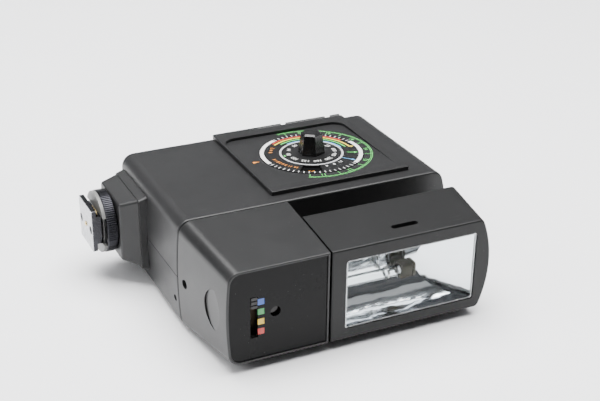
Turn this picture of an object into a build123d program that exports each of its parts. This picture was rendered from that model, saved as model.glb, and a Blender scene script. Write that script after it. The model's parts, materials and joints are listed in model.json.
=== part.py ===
from build123d import *
import os
from math import atan2, cos, radians, sin, tan

os.makedirs("parts", exist_ok=True)

# Camera speedlight lying on its side: +X runs from the hot-shoe foot to the far end of
# the lamp head, -Y is the side that faces the subject, and +Z carries the exposure dial.
# The origin is under the middle of the footprint. All sizes are in millimetres.

# ---------------------------------------------------------------- driving dimensions
wall = 2.0                 # moulded wall thickness
run = 0.06                 # radial clearance of a shaft in its hole
seam = 0.3                 # open line between two fixed mouldings
mid_z = 23.7               # height of the parting plane of every casing
front_y = -55.5            # front faces of turret and lamp head
end_x = 71.1               # furthest point of the bulged far end
foot_x = -70.6             # underside of the shoe foot

# main casing
body_front_y = -16.1
body_rear_y = 54.7
body_left_x = -50.7
body_half = mid_z
body_corner = 5.5
left_bulge = 1.3
right_bulge = 4.0

# turret and lamp head, whose sides open out towards the rear by this much per mm
draft = 0.105
block_half = 19.65
turret_left_x = -46.1
turret_right_x = -4.0
turret_rear_y = -17.0
turret_rear_left_x = -50.6
turret_axis_x = -27.3
head_left_x = -3.2
head_right_x = 67.5
head_rear_y = -28.5
head_rear_right_x = 70.1
head_bulge = 4.3
head_axis_y = -46.5

# flash window
window_left_x = 2.9
window_right_x = 60.7
window_mid_z = 23.35
window_half = 14.9

# dial panel on the upper side
panel_left_x = -7.7
panel_right_x = 55.4
panel_front_y = -9.9
panel_top_z = 49.3
recess_left_x = -6.5
recess_right_x = 51.4
recess_front_y = -5.5
recess_rear_y = 46.9
recess_depth = 1.2
dial_x = 24.2
dial_y = 19.9
dial_r = 22.25
knob_base_r = 5.85
knob_top_r = 4.6
knob_height = 9.3
knob_turn = 23.5

# battery door and its hinge
door_left_x = 8.0
door_right_x = 62.0
door_low_z = 5.0
door_high_z = 45.8
hinge_y = 54.2
hinge_z = 48.0
hinge_r = 1.3
hinge_pin_r = 0.6
door_knuckles = [(13.7, 25.2), (37.2, 47.3)]
casing_knuckles = [(28.1, 36.9), (50.6, 54.8)]

# battery compartment: four round cells, two deep and two high
cell_r = 7.1
cell_length = 49.0
cell_pitch = 15.0
bay_left_x = 8.5
bay_right_x = 61.5
bay_front_y = 21.0
bay_rear_y = 52.4
cell_front_y = 28.6

# hot shoe foot and its lock wheel
shoe_y = 40.8
shoe_z = 24.8
foot_width = 18.6
foot_length = 18.0
foot_thick = 2.0
neck_width = 12.4
stud_r = 5.5
pin_r = 1.0
pin_tail_r = 0.5
pin_travel = 0.4
wheel_r = 13.4
wheel_left_x = -65.0
wheel_right_x = -60.6
base_face_x = -60.2
collar_face_x = -53.3
casing_inner_x = -48.35
nut_x = -48.35
neck_end_x = -66.5
plate_x = -66.4
plate_gap = 0.08

# sliding aperture selector
slot_x = -34.85
slot_width = 3.1
slot_length = 17.2
selector_step = 4.2
selector_height = 4.6
selector_z = 29.0

# light sensor, colour marks, thumb recess and side screw of the turret
sensor_x = -26.2
sensor_z = 23.5
mark_x = -32.1
mark_width = 2.6
mark_height = 2.5
thumb_y = -47.0
thumb_r = 8.6
thumb_floor_x = -46.9
thumb_lean = 0.06
turret_screw_x = -46.4
turret_screw_y = -22.3
turret_screw_z = 23.4
wire_bore_r = 8.0

# rear controls
switch_x = -34.0
switch_travel = 5.0
switch_rest_z = 21.2
lamp_x = -14.0
lamp_z = 34.0
button_z = 19.0
socket_z = 38.5
control_top_y = 55.4
lamp_r = 2.6
button_r = 3.3
socket_r = 3.4
switch_width = 4.6
switch_height = 5.0

# casing screws: four posts, with self-tapping screws from underneath
posts = [(-43.0, -8.0), (-43.0, 46.5), (2.0, 46.5), (3.5, -10.0)]
post_r = 3.2
pilot_r = 1.1
clear_r = 1.3
head_r = 2.4
head_height = 1.6
head_depth = 2.2
end_hole = (-12.0, 12.1)

# turret pivot tube and the dial's boss
pivot_r = 11.0
boss_r = 24.0

to_rear = (0, 1, 0)
base_screw_places = [(shoe_y + 8.0, shoe_z + 8.0), (shoe_y - 10.0, shoe_z + 8.0),
                     (shoe_y + 8.0, shoe_z - 8.0), (shoe_y - 10.0, shoe_z - 8.0)]
foot_screw_places = [(shoe_y - 6.85, shoe_z), (shoe_y + 6.85, shoe_z)]
mark_places = [(mark_x, selector_z - i * selector_step) for i in range(4)]
door_width = door_right_x - door_left_x
door_height = door_high_z - door_low_z
door_mid_x = (door_left_x + door_right_x) / 2
door_mid_z = (door_low_z + door_high_z) / 2


def block_section(y, left, bulge_left, right, bulge_right, half, corners):
    """Outline of a block at depth y. Ends bulge outwards; corners are (left, right) radii."""
    low = mid_z - half
    high = mid_z + half
    with BuildSketch(Plane.XZ.offset(-y)) as section:
        with BuildLine():
            bottom = Line((left + bulge_left, low), (right - bulge_right, low))
            top = Line((right - bulge_right, high), (left + bulge_left, high))
            if bulge_right:
                ThreePointArc(bottom @ 1, (right, mid_z), top @ 0)
            else:
                Line(bottom @ 1, top @ 0)
            if bulge_left:
                ThreePointArc(top @ 1, (left, mid_z), bottom @ 0)
            else:
                Line(top @ 1, bottom @ 0)
        make_face()
        if corners[0]:
            fillet(section.vertices().group_by(Axis.X)[0], corners[0])
        if corners[1]:
            fillet(section.vertices().group_by(Axis.X)[-1], corners[1])
    return section.sketch


def finish(piece, name):
    """Name a finished piece and write its file."""
    piece.part.label = name
    export_step(piece.part, f"parts/{name}.step")


def across(y):
    """Plane that faces the front at depth y, with X to the right and Z up."""
    return Plane.XZ.offset(-y)


# ================================================================ main casing
body_outer = (body_left_x, left_bulge, end_x, right_bulge, body_half, (body_corner, body_corner))
body_inner = (body_left_x + wall, left_bulge, end_x - wall, right_bulge,
              body_half - wall, (body_corner - wall, body_corner - wall))
with BuildPart() as casing_block:
    add(block_section(body_front_y, *body_outer))
    extrude(amount=body_rear_y - body_front_y, dir=to_rear)
    fillet(casing_block.edges().group_by(Axis.Y)[0], 0.8)
    fillet(casing_block.edges().group_by(Axis.Y)[-1], 1.6)

with BuildPart() as casing:
    add(casing_block.part)
    add(block_section(body_front_y + wall, *body_inner))
    extrude(amount=body_rear_y - body_front_y - 2 * wall, dir=to_rear, mode=Mode.SUBTRACT)
    # pivot hole in the front wall
    with BuildSketch(across(body_front_y)):
        with Locations((turret_axis_x, mid_z)):
            Circle(pivot_r + run)
    extrude(amount=-wall, mode=Mode.SUBTRACT)
    # battery door opening, and openings for the rear controls, in the rear wall
    with BuildSketch(across(body_rear_y)):
        with Locations((door_mid_x, door_mid_z)):
            Rectangle(door_width + 2 * seam, door_height + 2 * seam)
        with Locations((switch_x, mid_z)):
            RectangleRounded(switch_width + 0.6, switch_height + switch_travel + 0.6, 1.5)
        with Locations((lamp_x, lamp_z)):
            Circle(lamp_r)
        with Locations((lamp_x, button_z)):
            Circle(button_r + 0.3)
        with Locations((switch_x, socket_z)):
            Circle(socket_r)
    extrude(amount=wall, mode=Mode.SUBTRACT)
    # pockets in the rear edge for the door's knuckles
    for left, right in door_knuckles:
        with BuildSketch(Plane.YZ.offset(left - seam)):
            with Locations((hinge_y, hinge_z - 0.7)):
                Rectangle(2 * hinge_r + 2 * seam, 5.0)
        extrude(amount=right - left + 2 * seam, mode=Mode.SUBTRACT)
    # round opening under the dial
    with BuildSketch(Plane.XY.offset(2 * mid_z - wall)):
        with Locations((dial_x, dial_y)):
            Circle(boss_r + seam)
    extrude(amount=wall, mode=Mode.SUBTRACT)
    # holes for the shoe's stud and screws in the foot end
    with BuildSketch(Plane.YZ.offset(body_left_x - 1)):
        with Locations((shoe_y, shoe_z)):
            Circle(stud_r + 0.2)
        with Locations(*base_screw_places):
            Circle(clear_r)
    extrude(amount=wall + 3, mode=Mode.SUBTRACT)

with BuildPart() as upper_shell:
    add(casing.part)
    split(bisect_by=Plane.XY.offset(mid_z + seam / 2), keep=Keep.TOP)
    # posts hang from the upper side and meet those of the lower shell
    with BuildSketch(Plane.XY.offset(mid_z + seam / 2)):
        with Locations(*posts):
            Circle(post_r)
            Circle(pilot_r, mode=Mode.SUBTRACT)
    extrude(amount=mid_z - wall)
    # casing half of the door hinge, on a web along the rear edge
    for left, right in casing_knuckles:
        with BuildSketch(Plane.YZ.offset(left)):
            with Locations((hinge_y, hinge_z)):
                Circle(hinge_r)
            with Locations((hinge_y - 0.5, hinge_z - 1.0)):
                Rectangle(1.6, 1.6)
        extrude(amount=right - left)
    with BuildSketch(Plane.YZ.offset(casing_knuckles[0][0])):
        with Locations((hinge_y, hinge_z)):
            Circle(hinge_pin_r)
    extrude(amount=casing_knuckles[-1][1] - casing_knuckles[0][0], mode=Mode.SUBTRACT)
finish(upper_shell, "upper_shell")

with BuildPart() as lower_shell:
    add(casing.part)
    split(bisect_by=Plane.XY.offset(mid_z - seam / 2), keep=Keep.BOTTOM)
    with BuildSketch(Plane.XY.offset(wall)):
        with Locations(*posts):
            Circle(post_r)
    extrude(amount=mid_z - seam / 2 - wall)
    # screws enter from underneath through countersunk clearance holes
    with BuildSketch(Plane.XY):
        with Locations(*posts):
            Circle(head_r)
    extrude(amount=head_depth, mode=Mode.SUBTRACT)
    with BuildSketch(Plane.XY):
        with Locations(*posts):
            Circle(clear_r)
    extrude(amount=mid_z, mode=Mode.SUBTRACT)
    # small blind screw hole low on the foot end, beside the turret seam
    with BuildSketch(Plane.YZ.offset(body_left_x)):
        with Locations(end_hole):
            Circle(1.4)
    extrude(amount=1.8, mode=Mode.SUBTRACT)
finish(lower_shell, "lower_shell")

with BuildPart() as casing_screws:
    with BuildSketch(Plane.XY.offset(head_depth - head_height)):
        with Locations(*posts):
            Circle(head_r - 0.15)
    extrude(amount=head_height)
    with BuildSketch(Plane.XY.offset(head_depth)):
        with Locations(*posts):
            Circle(pilot_r)
    extrude(amount=mid_z + 5 - head_depth)
    # crossed slots in the heads
    with BuildSketch(Plane.XY.offset(head_depth - head_height)):
        with Locations(*posts):
            Rectangle(2.6, 0.6)
            Rectangle(0.6, 2.6)
    extrude(amount=0.8, mode=Mode.SUBTRACT)
finish(casing_screws, "casing_screws")

# ================================================================ battery door
with BuildPart() as battery_door:
    with BuildSketch(across(body_rear_y)):
        with Locations((door_mid_x, door_mid_z)):
            RectangleRounded(door_width, door_height, 1.0)
    extrude(amount=wall - 0.2)
    # finger recess near the edge away from the hinge
    with BuildSketch(across(body_rear_y)):
        with Locations((door_mid_x, door_low_z + 5.0)):
            SlotOverall(18.0, 5.0)
    extrude(amount=0.9, mode=Mode.SUBTRACT)
    for left, right in door_knuckles:
        with BuildSketch(Plane.YZ.offset(left)):
            with Locations((hinge_y, hinge_z)):
                Circle(hinge_r)
            with Locations((body_rear_y - 0.85, hinge_z - 1.6)):
                Rectangle(1.5, 3.2)
        extrude(amount=right - left)
    with BuildSketch(Plane.YZ.offset(door_left_x)):
        with Locations((hinge_y, hinge_z)):
            Circle(hinge_pin_r + run)
    extrude(amount=door_width, mode=Mode.SUBTRACT)
finish(battery_door, "battery_door")

with BuildPart() as door_hinge_pin:
    with BuildSketch(Plane.YZ.offset(door_knuckles[0][0])):
        with Locations((hinge_y, hinge_z)):
            Circle(hinge_pin_r)
    extrude(amount=casing_knuckles[-1][1] - door_knuckles[0][0])
finish(door_hinge_pin, "door_hinge_pin")

# ================================================================ battery compartment
bay_wall = 1.2
bay_mid_x = (bay_left_x + bay_right_x) / 2
bay_width = bay_right_x - bay_left_x
bay_depth = bay_rear_y - bay_front_y
cell_rows = [(cell_front_y + j * cell_pitch, mid_z + (i - 0.5) * cell_pitch)
             for i in range(2) for j in range(2)]
plate_thick = 0.4

with BuildPart() as battery_box:
    with BuildSketch(across(bay_rear_y)):
        with Locations((bay_mid_x, mid_z)):
            Rectangle(bay_width + 2 * bay_wall, 2 * cell_pitch + 0.4 + 2 * bay_wall)
    extrude(amount=bay_depth + bay_wall)
    with BuildSketch(across(bay_rear_y)):
        with Locations((bay_mid_x, mid_z)):
            Rectangle(bay_width, 2 * cell_pitch + 0.4)
    extrude(amount=bay_depth, mode=Mode.SUBTRACT)
finish(battery_box, "battery_box")

with BuildPart() as battery_contacts:
    for x in (bay_left_x, bay_right_x - plate_thick):
        with BuildSketch(Plane.YZ.offset(x)):
            with Locations(*cell_rows):
                RectangleRounded(11.0, 11.0, 1.5)
        extrude(amount=plate_thick)
finish(battery_contacts, "battery_contacts")


def cell_direction(index):
    """Neighbouring cells point opposite ways: +1 has its button towards +X."""
    return 1 if index in (0, 3) else -1


with BuildPart() as battery_cells:
    for index, (y, z) in enumerate(cell_rows):
        way = cell_direction(index)
        start = bay_mid_x - way * (cell_length + 1.2) / 2
        with BuildSketch(Plane(origin=(start, y, z), z_dir=(way, 0, 0))):
            Circle(cell_r)
        extrude(amount=cell_length)
        with BuildSketch(Plane(origin=(start + way * cell_length, y, z), z_dir=(way, 0, 0))):
            Circle(2.7)
        extrude(amount=1.2)
    chamfer(battery_cells.edges().filter_by(GeomType.CIRCLE).sort_by(SortBy.RADIUS)[-8:], 0.5)
finish(battery_cells, "battery_cells")

# short conical springs press on the flat end of each cell
with BuildPart() as battery_springs:
    for index, (y, z) in enumerate(cell_rows):
        way = cell_direction(index)
        base = bay_mid_x - way * (bay_width / 2 - plate_thick)
        for ring_r, gap in ((4.4, 0.0), (3.2, 0.45)):
            with BuildSketch(Plane(origin=(base + way * gap, y, z), z_dir=(way, 0, 0))):
                Circle(ring_r)
                Circle(ring_r - 1.4, mode=Mode.SUBTRACT)
            extrude(amount=0.5)
finish(battery_springs, "battery_springs")

# ================================================================ dial panel and dial
tilt = atan2(recess_depth, recess_rear_y - recess_front_y)
floor_z = panel_top_z - (dial_y - recess_front_y) * tan(tilt)
dial_plane = Plane(origin=(dial_x, dial_y, floor_z), x_dir=(1, 0, 0),
                   z_dir=(0, sin(tilt), cos(tilt)))
seat_depth = 1.0
spindle_r = 2.5
window_inner_r = 14.6
window_outer_r = 20.2
window_angle = -115.5
window_half_angle = 14.0
hub_r = 12.6

with BuildPart() as dial_panel:
    with BuildSketch(Plane.XY.offset(2 * mid_z)):
        with Locations(((panel_left_x + panel_right_x) / 2, (panel_front_y + body_rear_y) / 2)):
            RectangleRounded(panel_right_x - panel_left_x, body_rear_y - panel_front_y, 0.8)
    extrude(amount=panel_top_z - 2 * mid_z)
    chamfer(dial_panel.faces().sort_by(Axis.Z)[-1].edges(), 0.25)
    with BuildSketch(Plane.XY.offset(2 * mid_z - wall)):
        with Locations((dial_x, dial_y)):
            Circle(boss_r)
    extrude(amount=wall)
    # rear edge is set back along the door's knuckles
    with BuildSketch(Plane.XY.offset(2 * mid_z)):
        with Locations(((door_knuckles[0][0] - seam + end_x) / 2, hinge_y)):
            Rectangle(end_x - door_knuckles[0][0] + seam, 2 * hinge_r + 2 * seam)
    extrude(amount=5, mode=Mode.SUBTRACT)
    # sloping recess, level with the top at the front and deepest at the rear
    with BuildSketch(dial_plane) as recess:
        with Locations(((recess_left_x + recess_right_x) / 2 - dial_x, recess_rear_y - dial_y - 35)):
            Rectangle(recess_right_x - recess_left_x, 70)
        fillet(recess.vertices().group_by(Axis.Y)[-1], 6.0)
    extrude(amount=3, mode=Mode.SUBTRACT)
    with BuildSketch(dial_plane):
        Circle(dial_r + 0.25)
    extrude(amount=-seat_depth, mode=Mode.SUBTRACT)
    with BuildSketch(dial_plane):
        Circle(spindle_r + run)
    extrude(amount=-6, mode=Mode.SUBTRACT)
finish(dial_panel, "dial_panel")

with BuildPart() as film_speed_plate:
    with BuildSketch(dial_plane.offset(-seat_depth)):
        Circle(dial_r - 1)
        Circle(spindle_r + 1, mode=Mode.SUBTRACT)
    extrude(amount=0.3)
finish(film_speed_plate, "film_speed_plate")

disc_low = -0.6
disc_high = 0.15
with BuildPart() as dial_disc:
    with BuildSketch(dial_plane.offset(disc_low)):
        Circle(dial_r)
    extrude(amount=disc_high - disc_low)
    with BuildSketch(dial_plane.offset(disc_high)):
        Circle(hub_r)
    extrude(amount=0.25)
    # window through which one film speed shows
    with BuildSketch(dial_plane.offset(disc_low)):
        Circle(window_outer_r)
        Circle(window_inner_r, mode=Mode.SUBTRACT)
        reach = 2 * window_outer_r
        start = radians(window_angle - window_half_angle)
        stop = radians(window_angle + window_half_angle)
        with BuildLine():
            Polyline((0, 0), (reach * cos(start), reach * sin(start)),
                     (reach * cos(stop), reach * sin(stop)), close=True)
        make_face(mode=Mode.INTERSECT)
    extrude(amount=disc_high - disc_low, mode=Mode.SUBTRACT)
    with BuildSketch(dial_plane.offset(disc_low)):
        Circle(spindle_r)
    extrude(amount=2, mode=Mode.SUBTRACT)
finish(dial_disc, "dial_disc")

knob_low = disc_high + 0.25
with BuildPart() as dial_knob:
    with BuildSketch(dial_plane.offset(knob_low)):
        RegularPolygon(knob_base_r, 6, rotation=knob_turn)
    with BuildSketch(dial_plane.offset(knob_low + knob_height)):
        RegularPolygon(knob_top_r, 6, rotation=knob_turn)
    loft()
    chamfer(dial_knob.faces().sort_by(Axis.Z)[-1].edges(), 0.7)
    with BuildSketch(dial_plane.offset(-4.6)):
        Circle(spindle_r)
    extrude(amount=4.6 + knob_low)
finish(dial_knob, "dial_knob")

with BuildPart() as dial_clip:
    with BuildSketch(dial_plane.offset(-4.4)):
        Circle(4.4)
        Circle(spindle_r, mode=Mode.SUBTRACT)
        with Locations((4, 0)):
            Rectangle(5, 2.4, mode=Mode.SUBTRACT)
    extrude(amount=0.7)
finish(dial_clip, "dial_clip")

# ================================================================ turret
panel_inset = 0.9          # width of the thin lip round the front panel
panel_drop = 0.5           # how far the panel lies behind the lip
panel_thick = 0.8
turret_front_wall = 3.0
sensor_r = 2.1
head_pivot_r = 4.5
slot_z = selector_z - 3 * selector_step / 2


def turret_section(y, inset):
    """Outline of the turret at depth y, drawn in by an inset."""
    share = (y - front_y) / (turret_rear_y - front_y)
    left = turret_left_x + share * (turret_rear_left_x - turret_left_x)
    half = block_half + draft * (y - front_y)
    corner = 5.0 + 0.5 * share
    return block_section(y, left + inset, left_bulge, turret_right_x - inset, 0,
                         half - inset, (corner - inset * 0.9, 0))


with BuildPart() as turret_shell:
    add(turret_section(front_y, 0))
    add(turret_section(turret_rear_y, 0))
    loft()
    fillet(turret_shell.edges().group_by(Axis.Y)[0], 0.4)
    add(turret_section(front_y + turret_front_wall, wall))
    add(turret_section(turret_rear_y, wall))
    loft(mode=Mode.SUBTRACT)
    # pocket for the front panel
    add(turret_section(front_y, panel_inset))
    extrude(amount=panel_drop + panel_thick, dir=to_rear, mode=Mode.SUBTRACT)
    # selector slot and sensor hole
    with BuildSketch(across(front_y)):
        with Locations((slot_x, slot_z)):
            Rectangle(slot_width, slot_length)
        with Locations((sensor_x, sensor_z)):
            Circle(sensor_r + 0.4)
    extrude(amount=-turret_front_wall, mode=Mode.SUBTRACT)
    # round flat-bottomed thumb recess on the foot end, level with the surface at the front
    thumb_floor = Plane(origin=(thumb_floor_x, thumb_y, mid_z + 0.2), x_dir=(-thumb_lean, 1, 0),
                        z_dir=(1, thumb_lean, 0))
    with BuildSketch(thumb_floor):
        Circle(thumb_r)
    extrude(amount=-6, mode=Mode.SUBTRACT)
    # boss and hole of the screw that enters from the foot end
    with BuildSketch(Plane.YZ.offset(turret_screw_x - 2.6)):
        with Locations((turret_screw_y, turret_screw_z)):
            Circle(3.2)
    extrude(amount=10.6)
    with BuildSketch(Plane.YZ.offset(turret_screw_x)):
        with Locations((turret_screw_y, turret_screw_z)):
            Circle(1.9)
    extrude(amount=-6, mode=Mode.SUBTRACT)
    with BuildSketch(Plane.YZ.offset(turret_screw_x)):
        with Locations((turret_screw_y, turret_screw_z)):
            Circle(pilot_r)
    extrude(amount=8, mode=Mode.SUBTRACT)
    # bearing hole of the lamp head
    with BuildSketch(Plane.YZ.offset(turret_right_x)):
        with Locations((head_axis_y, mid_z)):
            Circle(head_pivot_r + run)
    extrude(amount=-wall, mode=Mode.SUBTRACT)
finish(turret_shell, "turret_shell")

with BuildPart() as turret_screw:
    with BuildSketch(Plane.YZ.offset(turret_screw_x - 1.4)):
        with Locations((turret_screw_y, turret_screw_z)):
            Circle(1.8)
    extrude(amount=1.4)
    with BuildSketch(Plane.YZ.offset(turret_screw_x)):
        with Locations((turret_screw_y, turret_screw_z)):
            Circle(pilot_r)
    extrude(amount=6)
    with BuildSketch(Plane.YZ.offset(turret_screw_x - 1.4)):
        with Locations((turret_screw_y, turret_screw_z)):
            Rectangle(2.2, 0.5)
            Rectangle(0.5, 2.2)
    extrude(amount=0.7, mode=Mode.SUBTRACT)
finish(turret_screw, "turret_screw")

with BuildPart() as turret_front_panel:
    add(turret_section(front_y, panel_inset + 0.05))
    extrude(amount=panel_drop + panel_thick, dir=to_rear)
    with BuildSketch(across(front_y)):
        Rectangle(300, 300)
    extrude(amount=-panel_drop, mode=Mode.SUBTRACT)
    with BuildSketch(across(front_y)):
        with Locations((slot_x, slot_z)):
            Rectangle(slot_width, slot_length)
        with Locations((sensor_x, sensor_z)):
            Circle(sensor_r)
    extrude(amount=-turret_front_wall, mode=Mode.SUBTRACT)
    # shallow pockets for the colour marks
    with BuildSketch(across(front_y + panel_drop)):
        with Locations(*mark_places):
            Rectangle(mark_width, mark_height)
    extrude(amount=-0.2, mode=Mode.SUBTRACT)
finish(turret_front_panel, "turret_front_panel")

with BuildPart() as colour_marks:
    with BuildSketch(across(front_y + panel_drop - 0.03)):
        with Locations(*mark_places):
            Rectangle(mark_width, mark_height)
    extrude(amount=-0.23)
finish(colour_marks, "colour_marks")

# selector: a grip in the slot on a wider plate that slides behind the front wall
with BuildPart() as aperture_selector:
    with BuildSketch(across(front_y + 0.25)):
        with Locations((slot_x, selector_z)):
            RectangleRounded(slot_width - 0.4, selector_height, 0.5)
    extrude(amount=-(turret_front_wall + 0.2))
    for step in (-0.9, 0.9):
        with BuildSketch(across(front_y + 0.25)):
            with Locations((slot_x, selector_z + step)):
                Rectangle(slot_width, 0.5)
        extrude(amount=-0.4, mode=Mode.SUBTRACT)
    with BuildSketch(across(front_y + turret_front_wall + 0.15)):
        with Locations((slot_x, selector_z)):
            Rectangle(slot_width + 3.0, selector_height + 2.0)
    extrude(amount=-1.2)
finish(aperture_selector, "aperture_selector")

with BuildPart() as sensor_lens:
    with BuildSketch(across(front_y + 2.0)):
        with Locations((sensor_x, sensor_z)):
            Circle(sensor_r + 0.35)
    extrude(amount=-1.0)
finish(sensor_lens, "sensor_lens")

with BuildPart() as light_sensor:
    with BuildSketch(across(front_y + turret_front_wall + 0.4)):
        with Locations((sensor_x, sensor_z)):
            Circle(2.3)
    extrude(amount=-3.0)
    with BuildSketch(across(front_y + turret_front_wall + 3.4)):
        with Locations((sensor_x, sensor_z + 1.3), (sensor_x, sensor_z - 1.3)):
            Circle(0.3)
    extrude(amount=-2.4)
finish(light_sensor, "light_sensor")

sensor_board_y = front_y + turret_front_wall + 3.4
with BuildPart() as sensor_board:
    with BuildSketch(across(sensor_board_y)):
        with Locations(((slot_x + sensor_x) / 2 + 3, mid_z)):
            Rectangle(22.0, 30.0)
        with Locations((sensor_x, sensor_z + 1.3), (sensor_x, sensor_z - 1.3)):
            Circle(0.3, mode=Mode.SUBTRACT)
    extrude(amount=-1.4)
finish(sensor_board, "sensor_board")

with BuildPart() as turret_back_plate:
    add(turret_section(turret_rear_y - 2.0, wall + 0.1))
    extrude(amount=2.0, dir=to_rear)
    with BuildSketch(across(turret_rear_y)):
        with Locations((turret_axis_x, mid_z)):
            Circle(pivot_r)
    extrude(amount=-(body_front_y + wall + 1.2 - turret_rear_y))
    with BuildSketch(across(turret_rear_y - 2.0)):
        with Locations((turret_axis_x, mid_z)):
            Circle(wire_bore_r)
    extrude(amount=-10, mode=Mode.SUBTRACT)
finish(turret_back_plate, "turret_back_plate")

collar_y = body_front_y + wall + 1.2
with BuildPart() as turret_retainer:
    with BuildSketch(across(collar_y)):
        with Locations((turret_axis_x, mid_z)):
            Circle(13.6)
            Circle(wire_bore_r, mode=Mode.SUBTRACT)
            with PolarLocations(9.6, 3):
                Circle(0.8, mode=Mode.SUBTRACT)
    extrude(amount=-1.2)
finish(turret_retainer, "turret_retainer")

with BuildPart() as click_washer:
    with BuildSketch(across(body_front_y + wall + 0.35)):
        with Locations((turret_axis_x, mid_z)):
            Circle(13.4)
            Circle(pivot_r, mode=Mode.SUBTRACT)
    extrude(amount=-0.5)
finish(click_washer, "click_washer")

# ================================================================ lamp head
def head_section(y, inset):
    """Outline of the lamp head at depth y, drawn in by an inset."""
    share = (y - front_y) / (head_rear_y - front_y)
    right = head_right_x + share * (head_rear_right_x - head_right_x)
    half = block_half + draft * (y - front_y)
    return block_section(y, head_left_x + inset, 0, right - inset, head_bulge,
                         half - inset, (0, max(0.5, 2.4 - inset)))


window_mid_x = (window_left_x + window_right_x) / 2
window_width = window_right_x - window_left_x
accessory_slot = (31.7, -47.8)

with BuildPart() as head_shell:
    add(head_section(front_y, 0))
    add(head_section(head_rear_y, 0))
    loft()
    fillet(head_shell.edges().group_by(Axis.Y)[0], 0.7)
    fillet(head_shell.edges().group_by(Axis.Y)[-1], 0.7)
    add(head_section(front_y + wall, wall))
    add(head_section(head_rear_y, wall))
    loft(mode=Mode.SUBTRACT)
    # window opening with a bevelled edge
    with BuildSketch(across(front_y)):
        with Locations((window_mid_x, window_mid_z)):
            RectangleRounded(window_width, 2 * window_half, 1.5)
    extrude(amount=-wall, mode=Mode.SUBTRACT)
    # slots for snap-on filters, upper and lower side
    with BuildSketch(Plane.XY.offset(mid_z + block_half - 1.0)):
        with Locations(accessory_slot):
            SlotOverall(11.6, 2.4)
    extrude(amount=5, mode=Mode.SUBTRACT)
    with BuildSketch(Plane.XY.offset(mid_z - block_half + 1.0)):
        with Locations(accessory_slot):
            SlotOverall(11.6, 2.4)
    extrude(amount=-5, mode=Mode.SUBTRACT)
    with BuildSketch(Plane.YZ.offset(head_left_x)):
        with Locations((head_axis_y, mid_z)):
            Circle(head_pivot_r)
    extrude(amount=wall, mode=Mode.SUBTRACT)
finish(head_shell, "head_shell")

with BuildPart() as head_rear_cover:
    add(head_section(head_rear_y - wall, wall + 0.1))
    extrude(amount=wall - 0.3, dir=to_rear)
finish(head_rear_cover, "head_rear_cover")

with BuildPart() as window_lens:
    with BuildSketch(across(front_y + 0.35)):
        with Locations((window_mid_x, window_mid_z)):
            RectangleRounded(window_width - 0.1, 2 * window_half - 0.1, 1.45)
    extrude(amount=-(wall - 0.35))
    chamfer(window_lens.faces().sort_by(Axis.Y)[0].edges(), 0.4)
    with BuildSketch(across(front_y + wall)):
        with Locations((window_mid_x, window_mid_z)):
            RectangleRounded(window_width + 2.6, 2 * window_half + 2.6, 1.5)
    extrude(amount=-1.0)
finish(window_lens, "window_lens")

# trough reflector: half-ellipse section, steep left end, long sloping right end
mouth_y = front_y + wall + 1.0
trough_depth = 11.6
trough_right_x = 41.0
tube_y = front_y + 10.0
tube_r = 2.2
tube_left_x = -0.2
tube_right_x = 36.5


def trough(grow):
    """Solid that fills the reflector's hollow, grown outwards all round."""
    with BuildPart() as hollow:
        with BuildSketch(Plane.YZ.offset(window_left_x - 0.3 - grow)):
            with BuildLine():
                bowl = EllipticalCenterArc((mouth_y, window_mid_z), trough_depth + grow,
                                           window_half + 0.3 + grow,
                                           start_angle=-90, arc_size=180)
                Line(bowl @ 1, bowl @ 0)
            make_face()
        extrude(amount=window_width + 0.6 + 2 * grow)
        ramp = Plane(origin=(window_right_x + 0.3 + grow, mouth_y, window_mid_z), x_dir=(0, 0, 1),
                     z_dir=(trough_depth, window_right_x - trough_right_x, 0))
        split(bisect_by=ramp, keep=Keep.BOTTOM)
    return hollow.part


sheet = 0.5
hollow_outer = trough(sheet)
hollow_inner = trough(0)
with BuildPart() as reflector:
    add(hollow_outer)
    add(hollow_inner, mode=Mode.SUBTRACT)
    with BuildSketch(across(mouth_y)):
        with Locations((window_mid_x, window_mid_z)):
            Rectangle(window_width + 2.4, 2 * window_half + 2.4)
            Rectangle(window_width + 0.6, 2 * window_half + 0.6, mode=Mode.SUBTRACT)
    extrude(amount=-sheet)
    with BuildSketch(Plane.YZ.offset(window_left_x - 3)):
        with Locations((tube_y, window_mid_z)):
            Circle(tube_r + 0.3)
    extrude(amount=6, mode=Mode.SUBTRACT)
finish(reflector, "reflector")

with BuildPart() as flash_tube:
    with BuildSketch(Plane.YZ.offset(tube_left_x)):
        with Locations((tube_y, window_mid_z)):
            Circle(tube_r)
            Circle(tube_r - 0.5, mode=Mode.SUBTRACT)
    extrude(amount=tube_right_x - tube_left_x)
finish(flash_tube, "flash_tube")

with BuildPart() as tube_electrodes:
    for x, length in ((tube_left_x, 5.0), (tube_right_x - 5.0, 5.0)):
        with BuildSketch(Plane.YZ.offset(x)):
            with Locations((tube_y, window_mid_z)):
                Circle(tube_r - 0.55)
        extrude(amount=length)
finish(tube_electrodes, "tube_electrodes")

with BuildPart() as tube_holder:
    with BuildSketch(Plane.YZ.offset(tube_right_x - 5.5)):
        with Locations((tube_y + 0.3, window_mid_z)):
            RectangleRounded(5.6, 6.2, 1.0)
        with Locations((tube_y, window_mid_z)):
            Circle(tube_r, mode=Mode.SUBTRACT)
    extrude(amount=5.0)
    with BuildSketch(Plane.YZ.offset(tube_right_x)):
        with Locations((tube_y + 0.3, window_mid_z)):
            RectangleRounded(5.6, 6.2, 1.0)
    extrude(amount=1.0)
    # the block stands on the reflector's floor
    add(trough(-0.02), mode=Mode.INTERSECT)
finish(tube_holder, "tube_holder")

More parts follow.
